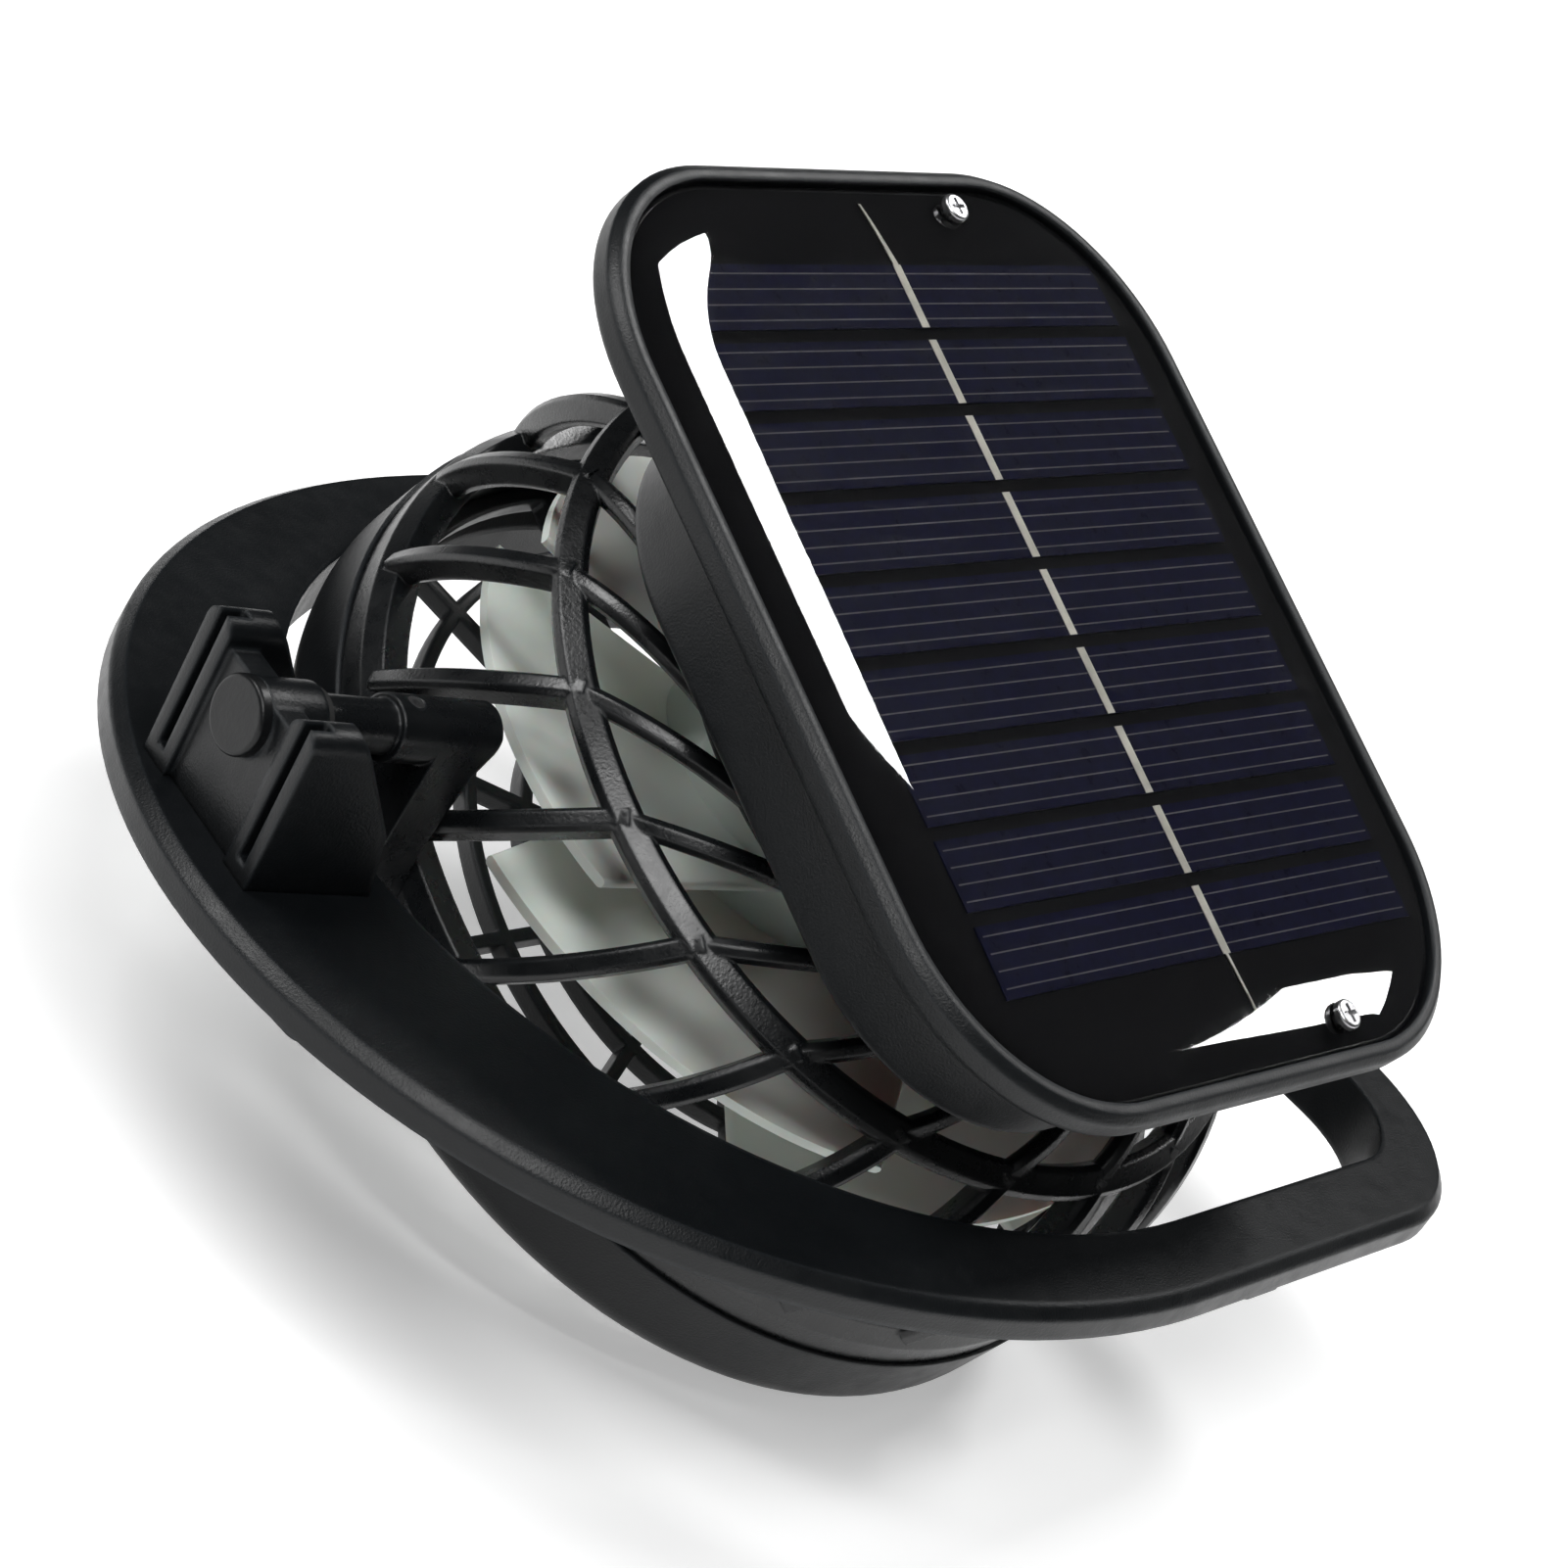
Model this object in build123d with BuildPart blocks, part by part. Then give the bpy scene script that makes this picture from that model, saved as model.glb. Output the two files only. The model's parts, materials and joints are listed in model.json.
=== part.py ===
"""Solar fan on a loop handle: a ducted fan with a solar panel on its back, tilting on a side pin.

Millimetres. The loop handle lies flat: its top face is Z = 0 and +Z is up. The origin is the point
where the fan's own axis crosses that face, at the middle of the loop's opening. +X runs along the
tilt pin, from the bracket towards the open end of the loop. The fan is drawn tilted, as it stands.
"""
from build123d import *
from math import cos, degrees, radians, sin
import os

os.makedirs("parts", exist_ok=True)

# ---- driving dimensions -------------------------------------------------------------------------
TILT = 22.0              # the fan's axis leans this far from upright, towards -Y
PANEL_TURN = 9.1         # the panel's short side turned from the tilt pin, about the fan's axis
FACE_TO_ORIGIN = 18.9    # front face of the fan to the origin, along the fan's axis

RIM_R = 60.0             # outside of the fan's front ring
RIM_H = 12.0             # depth of the front ring, up to the seam with the rear cage
RIM_ROUND = 4.0
DUCT_R = 55.5            # inside of the front ring
GRILLE_Z = 5.0
GRILLE_T = 2.4

RIB_COUNT = 21
BASE_TOP = 18.0          # top of the rear cage's base band
NODE_R, NODE_Z = 50.0, 39.5      # the cage's middle hoop
CROWN_R, CROWN_Z, CROWN_T = 38.0, 46.8, 2.6      # the disc that carries the motor and the box
RIB_W, RIB_D = 2.6, 3.6
OUTER_SWIRL = 12.0       # each rib's turn between the hoop and the base band
INNER_SWIRL = 20.0       # and between the hoop and the crown disc
RIB_START = 9.6          # where the first rib meets the hoop

FOOT_W, FOOT_Y0, FOOT_Y1, FOOT_ROUND = 80.0, -45.5, 30.0, 20.0     # the box's lower step
BOX_W, BOX_Y0, BOX_Y1, BOX_ROUND = 94.0, -52.6, 32.0, 23.0         # the box, up to the panel tray
STEP_Z, STEP_T = 51.3, 1.5
BOX_TOP = 60.9           # the box's rim, under the tray's flange
BOX_WALL = 2.0
TRAY_BOTTOM = 59.5       # the tray's floor drops inside the box's rim
TRAY_W, TRAY_L, TRAY_ROUND = 97.2, 114.8, 25.7
TRAY_TOP = 64.8
TRAY_FLOOR = 2.1
TRAY_RIM = 2.2
PANEL_SHIFT = 6.3        # the panel and box sit this far off the fan's axis, along the long side
BOARD_T = 1.4
CELL_COUNT = 9
CELL_PITCH, CELL_GAP = 9.75, 1.6
CELL_W, CELL_T = 77.0, 0.35
CELL_X, CELL_Y = 2.0, 1.5        # the cells sit this far off the panel's middle
BUS_W, BUS_T = 1.35, 0.15
RESIN_T = 1.6
TRAY_SCREW_X, TRAY_SCREW_Y = 17.5, 51.5

MOTOR_R, MOTOR_L = 12.2, 15.0
SHAFT_R = 1.0
HUB_R, HUB_WALL, HUB_Z0, HUB_Z1 = 24.0, 1.5, 15.5, 39.0
BLADE_COUNT = 7
BLADE_TIP = 49.5
RUNNING = 0.05           # radial clearance of a running fit

LOOP_T = 4.0
LOOP_TURN = 11.5         # the loop's long axis turned from the tilt pin
LOOP_MIDDLE, LOOP_HALF_W, LOOP_HEEL, LOOP_END, LOOP_CORNER = -1.5, 71.5, 92.7, 71.0, 24.0
HOLE_MIDDLE, HOLE_HALF_W, HOLE_HEEL, HOLE_END, HOLE_CORNER = 2.3, 61.6, 71.0, 62.0, 14.0
SKIRT_T, LOOP_DEPTH = 2.4, 8.0   # the skirt round the hole, and how deep it reaches

PIN_R = 2.0
PIN_HEAD_R, PIN_HEAD_T = 4.2, 1.4
PIN_Z = 13.4             # the tilt pin's height over the loop
BRACKET_X = -88.0        # front face of the bracket
BRACKET_DEPTH = 16.5
BRACKET_HALF_W = 11.0
RAIL_W, RAIL_SLOT, RAIL_SLOT_D = 4.4, 1.4, 3.0
RAIL_H = 19.5
PLATE_H = 16.6

# ---- frames -------------------------------------------------------------------------------------
tilt, turn = radians(TILT), radians(PANEL_TURN)
fan_up = Vector(0, -sin(tilt), cos(tilt))
fan_side = Vector(cos(turn), sin(turn) * cos(tilt), sin(turn) * sin(tilt))
fan = Plane(origin=fan_up * -FACE_TO_ORIGIN, x_dir=fan_side, z_dir=fan_up)
fan_axis = Axis(fan.origin, fan.z_dir)
fan_section = Plane(origin=fan.origin, x_dir=fan.x_dir, z_dir=-fan.y_dir)
panel = Plane(origin=fan.from_local_coords((0, PANEL_SHIFT, 0)), x_dir=fan_side, z_dir=fan_up)
loop_long = Vector(cos(radians(LOOP_TURN)), sin(radians(LOOP_TURN)), 0)
loop = Plane(origin=(0, 0, 0), x_dir=loop_long, z_dir=(0, 0, 1))
pin_line = Plane(origin=(0, 0, PIN_Z), x_dir=(0, 1, 0), z_dir=(1, 0, 0))


def save(part, name):
    """Label a finished piece and write it to its own STEP file."""
    part.label = name
    export_step(part, f"parts/{name}.step")


def turned(outline):
    """A solid of revolution in the fan's own upright frame, from an (r, z) outline."""
    with BuildPart() as ring:
        with BuildSketch(Plane.XZ):
            with BuildLine():
                Polyline(*outline, close=True)
            make_face()
        revolve(axis=Axis.Z)
    return ring.part


# ---- front ring: rounded front edge, inside lip, seam step at the back ---------------------------
SCREW_R = 57.4           # three screws join the front ring to the cage, from the front
SCREW_SEAT = 5.5
SCREW_ANGLE = RIB_START - OUTER_SWIRL + 180 / RIB_COUNT
with BuildPart() as front_rim:
    with BuildSketch(fan_section):
        with BuildLine():
            nose = CenterArc((RIM_R - RIM_ROUND, RIM_ROUND), RIM_ROUND, -90, 90)
            Polyline(nose @ 1, (RIM_R, RIM_H), (DUCT_R + 0.6, RIM_H), (DUCT_R, RIM_H - 0.8),
                     (DUCT_R, 3.2), (DUCT_R - 2.5, 0.8), (DUCT_R, 0), nose @ 0)
        make_face()
    revolve(axis=fan_axis)
    with BuildSketch(fan):
        with PolarLocations(SCREW_R, 3, start_angle=SCREW_ANGLE):
            Circle(0.95)
    extrude(amount=RIM_H, mode=Mode.SUBTRACT)
    with BuildSketch(fan):
        with PolarLocations(SCREW_R, 3, start_angle=SCREW_ANGLE):
            Circle(1.75)
    extrude(amount=SCREW_SEAT, mode=Mode.SUBTRACT)
save(front_rim.part, "front_rim")

# ---- front grille: rings and spokes inside the front ring ----------------------------------------
GRILLE_RINGS = (14.0, 22.0, 30.0, 38.0, 46.0)
GRILLE_WIRE = 1.5
with BuildPart() as front_grille:
    with BuildSketch(fan.offset(GRILLE_Z)):
        Circle(DUCT_R - 0.1)
        Circle(DUCT_R - 2.2, mode=Mode.SUBTRACT)
        Circle(9.0)
        for radius in GRILLE_RINGS:
            with BuildSketch(mode=Mode.ADD):
                Circle(radius + GRILLE_WIRE / 2)
                Circle(radius - GRILLE_WIRE / 2, mode=Mode.SUBTRACT)
        with PolarLocations((DUCT_R + 6.0) / 2, 12):
            Rectangle(DUCT_R - 8.0, GRILLE_WIRE)
    extrude(amount=GRILLE_T)
save(front_grille.part, "front_grille")


# ---- rear cage: base band, swirled ribs, middle hoop and crown disc ------------------------------
def polar(radius, degrees, height):
    return Vector(radius * cos(radians(degrees)), radius * sin(radians(degrees)), height)


def rib(start, middle, end, width, depth, corner):
    """One bar bent along the arc through three points, in the fan's own upright frame."""
    arc = ThreePointArc(start, middle, end)
    centre = arc.arc_center
    tangent = arc % 0
    spin = (start - centre).cross(tangent).normalized()
    outward = Vector(start.X, start.Y, 0).normalized() + Vector(0, 0, 0.6)
    across = tangent.cross(outward).normalized()
    with BuildPart() as bar:
        with BuildSketch(Plane(origin=start, x_dir=across, z_dir=tangent)) as section:
            Rectangle(width, depth)
            chamfer(section.vertices(), corner)
        revolve(axis=Axis(centre, spin), revolution_arc=degrees(arc.length / arc.radius))
    return bar.part


BASE_R = 57.6
mid_r, mid_z = 55.6, 29.5
outer_rib = rib(polar(BASE_R, -OUTER_SWIRL, BASE_TOP - 1.2),
                polar(mid_r, -OUTER_SWIRL * 0.46, mid_z),
                polar(NODE_R - 0.4, 0.4, NODE_Z + 0.3), RIB_W, RIB_D, 0.55)
inner_rib = rib(polar(NODE_R + 0.3, -0.5, NODE_Z - 0.4),
                polar((NODE_R + CROWN_R) / 2, INNER_SWIRL * 0.5, 44.6),
                polar(CROWN_R - 1.0, INNER_SWIRL, CROWN_Z - 1.8), 2.4, 2.4, 0.65)
BOX_SCREW_R = 33.0
MOTOR_SCREW_R = 8.0
with BuildPart(fan) as rear_cage:
    add(turned(((DUCT_R + 0.6, RIM_H), (RIM_R - 0.5, RIM_H), (RIM_R - 0.5, BASE_TOP - 2.4),
                (RIM_R - 1.8, BASE_TOP), (DUCT_R - 0.4, BASE_TOP), (DUCT_R - 0.4, RIM_H + 2.0))))
    with BuildSketch(fan_section) as hoop:
        with Locations((NODE_R, NODE_Z)):
            Rectangle(3.0, 3.8, rotation=55)
        chamfer(hoop.vertices(), 0.7)
    revolve(axis=fan_axis)
    with BuildSketch(fan.offset(CROWN_Z - CROWN_T)):
        Circle(CROWN_R)
    extrude(amount=CROWN_T)
    with PolarLocations(0, RIB_COUNT, start_angle=RIB_START):
        add(outer_rib)
        add(inner_rib)
    with BuildSketch(fan.offset(CROWN_Z - CROWN_T)):
        Circle(4.2)
        with PolarLocations(26.0, 12):
            SlotOverall(13.0, 4.0)
        with PolarLocations(BOX_SCREW_R, 4, start_angle=15):
            Circle(1.15)
        with PolarLocations(MOTOR_SCREW_R, 2, start_angle=45):
            Circle(1.05)
    extrude(amount=CROWN_T, mode=Mode.SUBTRACT)
    with BuildSketch(fan.offset(RIM_H)):
        with PolarLocations(SCREW_R, 3, start_angle=SCREW_ANGLE):
            Circle(0.92)
    extrude(amount=3.6, mode=Mode.SUBTRACT)
save(rear_cage.part, "rear_cage")


def screws(plane, places, head_r, head_h, shank_r, length):
    """Pan-head screws with a cross recess, heads standing up from a plane."""
    with BuildPart() as screw:
        with BuildSketch(Plane.XY):
            Circle(head_r)
        extrude(amount=head_h)
        fillet(screw.faces().sort_by(Axis.Z)[-1].edges(), head_h * 0.45)
        with BuildSketch(Plane.XY):
            Circle(shank_r)
        extrude(amount=-length)
        with BuildSketch(Plane.XY.offset(head_h)):
            Rectangle(head_r * 1.25, head_r * 0.28)
            Rectangle(head_r * 0.28, head_r * 1.25)
        extrude(amount=-head_h * 0.55, mode=Mode.SUBTRACT)
    with BuildPart(plane) as group:
        with Locations(*places):
            add(screw.part)
    return group.part


def ring_places(radius, count, start):
    """Points on a circle about the fan's axis."""
    angles = [radians(start + 360 * i / count) for i in range(count)]
    return [(radius * cos(a), radius * sin(a)) for a in angles]


rim_seat = Plane(origin=fan.from_local_coords((0, 0, SCREW_SEAT)), x_dir=fan.x_dir, z_dir=-fan.z_dir)
save(screws(rim_seat, ring_places(SCREW_R, 3, -SCREW_ANGLE), 1.6, 1.1, 0.9, 9.8), "cage_screws")
save(screws(fan.offset(CROWN_Z), ring_places(MOTOR_SCREW_R, 2, 45), 1.8, 1.1, 1.0, 3.6),
     "motor_screws")

# ---- motor: can, end cap, magnets, rotor on its shaft, two bushings -------------------------------
MOTOR_TOP = CROWN_Z - CROWN_T
MOTOR_BOTTOM = MOTOR_TOP - MOTOR_L
BUSH_R = 2.6
with BuildPart(fan) as motor_can:
    add(turned(((BUSH_R, MOTOR_BOTTOM), (MOTOR_R, MOTOR_BOTTOM), (MOTOR_R, MOTOR_TOP - 1.5),
                (MOTOR_R - 1, MOTOR_TOP - 1.5), (MOTOR_R - 1, MOTOR_BOTTOM + 1),
                (BUSH_R, MOTOR_BOTTOM + 1))))
save(motor_can.part, "motor_can")
with BuildPart() as motor_cap:
    with BuildSketch(fan.offset(MOTOR_TOP - 1.5)):
        Circle(MOTOR_R)
        Circle(BUSH_R, mode=Mode.SUBTRACT)
        with PolarLocations(MOTOR_SCREW_R, 2, start_angle=45):
            Circle(1.05, mode=Mode.SUBTRACT)
    extrude(amount=1.5)
save(motor_cap.part, "motor_end_cap")
with BuildPart() as bushings:
    for bottom in (MOTOR_BOTTOM - 0.8, MOTOR_TOP - 2.2):
        with BuildSketch(fan.offset(bottom)):
            Circle(BUSH_R)
            Circle(SHAFT_R + RUNNING, mode=Mode.SUBTRACT)
        extrude(amount=2.2)
save(bushings.part, "motor_bushings")
with BuildPart() as magnets:
    with BuildSketch(fan.offset(MOTOR_BOTTOM + 2.4)):
        Circle(MOTOR_R - 1)
        Circle(9.2, mode=Mode.SUBTRACT)
        Rectangle(7.0, 2 * MOTOR_R, mode=Mode.SUBTRACT)
    extrude(amount=9.0)
save(magnets.part, "motor_magnets")
ROTOR_Z0, ROTOR_Z1 = MOTOR_BOTTOM + 3.2, MOTOR_TOP - 4.4
with BuildPart() as rotor:
    with BuildSketch(fan.offset(ROTOR_Z0)):
        Circle(8.5)
        with PolarLocations(7.4, 3):
            Rectangle(4.4, 1.2, mode=Mode.SUBTRACT)
        Circle(SHAFT_R, mode=Mode.SUBTRACT)
    extrude(amount=ROTOR_Z1 - ROTOR_Z0)
save(rotor.part, "motor_rotor")
with BuildPart() as shaft:
    with BuildSketch(fan.offset(HUB_Z0 + 1.0)):
        Circle(SHAFT_R)
    extrude(amount=MOTOR_TOP - 0.4 - HUB_Z0 - 1.0)
save(shaft.part, "motor_shaft")

# ---- impeller: a cup over the motor and broad twisted blades --------------------------------------
BLADE_Z = 26.0
ROOT_CHORD, ROOT_PITCH = 34.0, 26.0
TIP_CHORD, TIP_PITCH = 60.0, 12.0
with BuildPart() as blade:
    for radius, chord, pitch in ((8.0, ROOT_CHORD, ROOT_PITCH), (BLADE_TIP + 4, TIP_CHORD, TIP_PITCH)):
        lean = radians(pitch)
        chord_way = (0, cos(lean), sin(lean))
        with BuildSketch(Plane(origin=(radius, 0, BLADE_Z), x_dir=chord_way, z_dir=(1, 0, 0))):
            RectangleRounded(chord, 1.3, 0.6)
    loft()
    with BuildSketch(Plane.XY):
        Circle(BLADE_TIP)
        Circle(HUB_R - 0.8, mode=Mode.SUBTRACT)
    extrude(amount=50, mode=Mode.INTERSECT)
with BuildPart(fan) as impeller:
    add(turned(((0, HUB_Z0), (HUB_R - 3, HUB_Z0), (HUB_R, HUB_Z0 + 3), (HUB_R, HUB_Z1),
                (HUB_R - HUB_WALL, HUB_Z1), (HUB_R - HUB_WALL, HUB_Z0 + 3.6), (HUB_R - 3.6, HUB_Z0 + 1.8),
                (0, HUB_Z0 + 1.8))))
    with BuildSketch(fan.offset(HUB_Z0)):
        Circle(3.6)
    extrude(amount=10)
    with PolarLocations(0, BLADE_COUNT):
        add(blade.part)
    with BuildSketch(fan.offset(HUB_Z0 + 1.0)):
        Circle(SHAFT_R)
    extrude(amount=20, mode=Mode.SUBTRACT)
save(impeller.part, "impeller")

# ---- electronics box under the panel --------------------------------------------------------------
FLOOR_Z = CROWN_Z + BOX_WALL
WALL_X = BOX_W / 2
BOARD_Z, BOARD_Y = 53.2, -10.0   # the control board's underside
USB_Y, LIGHT_Y, BUTTON_Y = -20.0, -6.0, 5.0
BUTTON_Z, BUTTON_R = 56.1, 2.6
USB_Z, LIGHT_Z, LIGHT_R = 55.8, 56.1, 1.5
CORNERS = [(x, y) for x in (-29.0, 29.0) for y in (-44.5, 25.0)]


def wall_plane(y, z, x=WALL_X):
    """A plane facing out of the box's long side wall."""
    return Plane(origin=panel.from_local_coords((x, y, z)), x_dir=panel.y_dir, z_dir=panel.x_dir)


def box_level(height, width, y0, y1, corner, inset=0.0):
    """The box's outline at one height: a rounded rectangle set off the panel's middle."""
    with BuildSketch(panel.offset(height)) as level:
        with Locations((0, (y0 + y1) / 2)):
            RectangleRounded(width - 2 * inset, y1 - y0 - 2 * inset, corner - inset)
    return level.sketch


box_screw_places = [(x, y - PANEL_SHIFT) for x, y in ring_places(BOX_SCREW_R, 4, 15)]
with BuildPart() as electronics_box:
    extrude(box_level(STEP_Z, BOX_W, BOX_Y0, BOX_Y1, BOX_ROUND), amount=BOX_TOP - STEP_Z, dir=fan_up)
    fillet(electronics_box.faces().sort_by(fan_axis)[0].edges(), 1.2)
    extrude(box_level(CROWN_Z, FOOT_W, FOOT_Y0, FOOT_Y1, FOOT_ROUND),
            amount=STEP_Z + 0.5 - CROWN_Z, dir=fan_up)
    extrude(box_level(STEP_Z + STEP_T, BOX_W, BOX_Y0, BOX_Y1, BOX_ROUND, BOX_WALL),
            amount=BOX_TOP, dir=fan_up, mode=Mode.SUBTRACT)
    extrude(box_level(FLOOR_Z, FOOT_W, FOOT_Y0, FOOT_Y1, FOOT_ROUND, BOX_WALL),
            amount=BOX_TOP, dir=fan_up, mode=Mode.SUBTRACT)
    with BuildSketch(panel.offset(STEP_Z)):
        with Locations(*CORNERS):
            Circle(3.2)
    extrude(amount=TRAY_BOTTOM - STEP_Z)
    with BuildSketch(panel.offset(CROWN_Z)):
        with Locations((0, -PANEL_SHIFT)):
            Circle(12.5)
        with Locations(*box_screw_places):
            Circle(1.15)
    extrude(amount=BOX_WALL, mode=Mode.SUBTRACT)
    with BuildSketch(panel.offset(STEP_Z + 1.6)):
        with Locations(*CORNERS):
            Circle(1.0)
    extrude(amount=BOX_TOP, mode=Mode.SUBTRACT)
    with BuildSketch(wall_plane(USB_Y, USB_Z)):
        RectangleRounded(9.8, 4.0, 1.4)
    extrude(amount=-BOX_WALL - 1, mode=Mode.SUBTRACT)
    with BuildSketch(wall_plane(BUTTON_Y, BUTTON_Z)):
        Circle(BUTTON_R + 0.3)
    extrude(amount=-BOX_WALL - 1, mode=Mode.SUBTRACT)
    with BuildSketch(wall_plane(LIGHT_Y, LIGHT_Z)):
        Circle(LIGHT_R)
    extrude(amount=-BOX_WALL - 1, mode=Mode.SUBTRACT)
save(electronics_box.part, "electronics_box")
save(screws(panel.offset(FLOOR_Z), box_screw_places, 2.2, 1.4, 1.1, 4.4), "box_screws")

BATTERY_W, BATTERY_L, BATTERY_T = 36.0, 52.0, 6.5
with BuildPart() as battery:
    with BuildSketch(panel.offset(FLOOR_Z + 1.6)):
        with Locations((-14.0, BOARD_Y)):
            RectangleRounded(BATTERY_W, BATTERY_L, 2.0)
    extrude(amount=BATTERY_T)
    fillet(battery.faces().sort_by(fan_axis)[-1].edges(), 1.0)
save(battery.part, "battery_pack")

with BuildPart() as control_board:
    with BuildSketch(panel.offset(BOARD_Z)):
        with Locations((31.0, BOARD_Y)):
            Rectangle(22.0, 52.0)
    extrude(amount=1.2)
    with BuildSketch(panel.offset(FLOOR_Z)):
        with Locations((23.5, BOARD_Y - 22), (23.5, BOARD_Y + 22)):
            Circle(1.6)
    extrude(amount=BOARD_Z - FLOOR_Z)
    with BuildSketch(panel.offset(BOARD_Z + 1.2)):
        with Locations((27.0, BOARD_Y)):
            Rectangle(6.0, 6.0)
        with Locations((28.0, BOARD_Y - 12)):
            Rectangle(3.0, 5.0)
    extrude(amount=1.2)
save(control_board.part, "control_board")
with BuildPart() as usb:
    with BuildSketch(wall_plane(USB_Y, USB_Z + 0.2, WALL_X - 0.4)):
        RectangleRounded(9.0, 3.2, 1.2)
        RectangleRounded(8.2, 2.4, 0.9, mode=Mode.SUBTRACT)
    extrude(amount=-7.5)
    with BuildSketch(wall_plane(USB_Y, USB_Z + 0.2, WALL_X - 0.4 - 7.5)):
        RectangleRounded(9.0, 3.2, 1.2)
    extrude(amount=1.0)
    with BuildSketch(wall_plane(USB_Y, USB_Z + 0.2, WALL_X - 0.4 - 6.5)):
        Rectangle(6.6, 0.7)
    extrude(amount=4.5)
save(usb.part, "charging_socket")
with BuildPart() as button:
    with BuildSketch(wall_plane(BUTTON_Y, BUTTON_Z, WALL_X - BOX_WALL - 1.0)):
        Circle(BUTTON_R + 0.6)
    extrude(amount=0.9)
    with BuildSketch(wall_plane(BUTTON_Y, BUTTON_Z, WALL_X - BOX_WALL - 0.5)):
        Circle(BUTTON_R)
    extrude(amount=BOX_WALL + 1.7)
    fillet(button.edges().filter_by(GeomType.CIRCLE).sort_by(Axis(panel.origin, panel.x_dir))[-1], 0.6)
save(button.part, "power_button")
with BuildPart() as switch:
    with BuildSketch(panel.offset(BOARD_Z + 1.2)):
        with Locations((WALL_X - 8.2, BUTTON_Y)):
            Rectangle(4.0, 6.0)
    extrude(amount=3.4)
    with BuildSketch(wall_plane(BUTTON_Y, BUTTON_Z, WALL_X - 6.3)):
        Circle(1.4)
    extrude(amount=1.9)
save(switch.part, "button_switch")
with BuildPart() as light:
    with BuildSketch(wall_plane(LIGHT_Y, LIGHT_Z, WALL_X - BOX_WALL - 1.0)):
        Circle(LIGHT_R + 0.7)
    extrude(amount=1.0)
    with BuildSketch(wall_plane(LIGHT_Y, LIGHT_Z, WALL_X - BOX_WALL)):
        Circle(LIGHT_R)
    extrude(amount=BOX_WALL + 0.3)
save(light.part, "charge_light")

# ---- panel tray, board, cells, busbar and resin cover ----------------------------------------------
BOARD_BOTTOM = TRAY_BOTTOM + TRAY_FLOOR
BOARD_TOP = BOARD_BOTTOM + BOARD_T
SCREW_SPOTS = [(TRAY_SCREW_X, y) for y in (-TRAY_SCREW_Y, TRAY_SCREW_Y)]
with BuildPart() as tray:
    with BuildSketch(panel.offset(BOX_TOP)):
        RectangleRounded(TRAY_W, TRAY_L, TRAY_ROUND)
    extrude(amount=TRAY_TOP - BOX_TOP)
    chamfer(tray.faces().sort_by(fan_axis)[-1].edges(), 1.0)
    fillet(tray.faces().sort_by(fan_axis)[0].edges(), 0.8)
    extrude(box_level(TRAY_BOTTOM, BOX_W, BOX_Y0, BOX_Y1, BOX_ROUND, BOX_WALL + 0.1),
            amount=TRAY_FLOOR, dir=fan_up)
    with BuildSketch(panel.offset(BOARD_BOTTOM)):
        RectangleRounded(TRAY_W - 2 * TRAY_RIM, TRAY_L - 2 * TRAY_RIM, TRAY_ROUND - TRAY_RIM)
    extrude(amount=TRAY_TOP, mode=Mode.SUBTRACT)
    with BuildSketch(panel.offset(TRAY_BOTTOM)):
        with Locations(*SCREW_SPOTS):
            Circle(0.85)
        with Locations((-23.0, 0)):
            SlotOverall(12.0, 4.0, rotation=90)
        with Locations(*CORNERS):
            Circle(1.05)
    extrude(amount=TRAY_FLOOR, mode=Mode.SUBTRACT)
    with BuildSketch(panel.offset(BOARD_BOTTOM - 1.2)):
        with Locations(*CORNERS):
            Circle(2.3)
    extrude(amount=1.2, mode=Mode.SUBTRACT)
save(tray.part, "panel_tray")
save(screws(panel.offset(BOARD_BOTTOM - 1.2), CORNERS, 2.2, 1.1, 1.0, 6.8), "tray_screws")

INSET = TRAY_RIM + 0.3
with BuildPart() as board:
    with BuildSketch(panel.offset(BOARD_BOTTOM)):
        RectangleRounded(TRAY_W - 2 * INSET, TRAY_L - 2 * INSET, TRAY_ROUND - INSET)
        with Locations(*SCREW_SPOTS):
            Circle(0.85, mode=Mode.SUBTRACT)
    extrude(amount=BOARD_T)
save(board.part, "panel_board")
with BuildPart() as cells:
    with BuildSketch(panel.offset(BOARD_TOP)):
        for i in range(CELL_COUNT):
            with Locations((CELL_X, CELL_Y + (i - (CELL_COUNT - 1) / 2) * CELL_PITCH)):
                Rectangle(CELL_W, CELL_PITCH - CELL_GAP)
    extrude(amount=CELL_T)
save(cells.part, "solar_cells")
with BuildPart() as tabs:
    with BuildSketch(panel.offset(BOARD_TOP + CELL_T)):
        for i in range(CELL_COUNT):
            with Locations((CELL_X + 1, CELL_Y + (i - (CELL_COUNT - 1) / 2) * CELL_PITCH)):
                Rectangle(BUS_W, CELL_PITCH - CELL_GAP)
    extrude(amount=BUS_T)
save(tabs.part, "cell_tabs")
RESIN_BOTTOM = BOARD_TOP + CELL_T + BUS_T + 0.05
with BuildPart() as resin:
    with BuildSketch(panel.offset(RESIN_BOTTOM)):
        RectangleRounded(TRAY_W - 2 * INSET, TRAY_L - 2 * INSET, TRAY_ROUND - INSET)
    extrude(amount=RESIN_T)
    fillet(resin.faces().sort_by(fan_axis)[-1].edges(), 1.2)
    with BuildSketch(panel.offset(RESIN_BOTTOM)):
        with Locations(*SCREW_SPOTS):
            Circle(0.85)
    extrude(amount=RESIN_T, mode=Mode.SUBTRACT)
save(resin.part, "resin_cover")
save(screws(panel.offset(RESIN_BOTTOM + RESIN_T), SCREW_SPOTS, 1.8, 0.9, 0.8, 4.1), "panel_screws")

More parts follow.
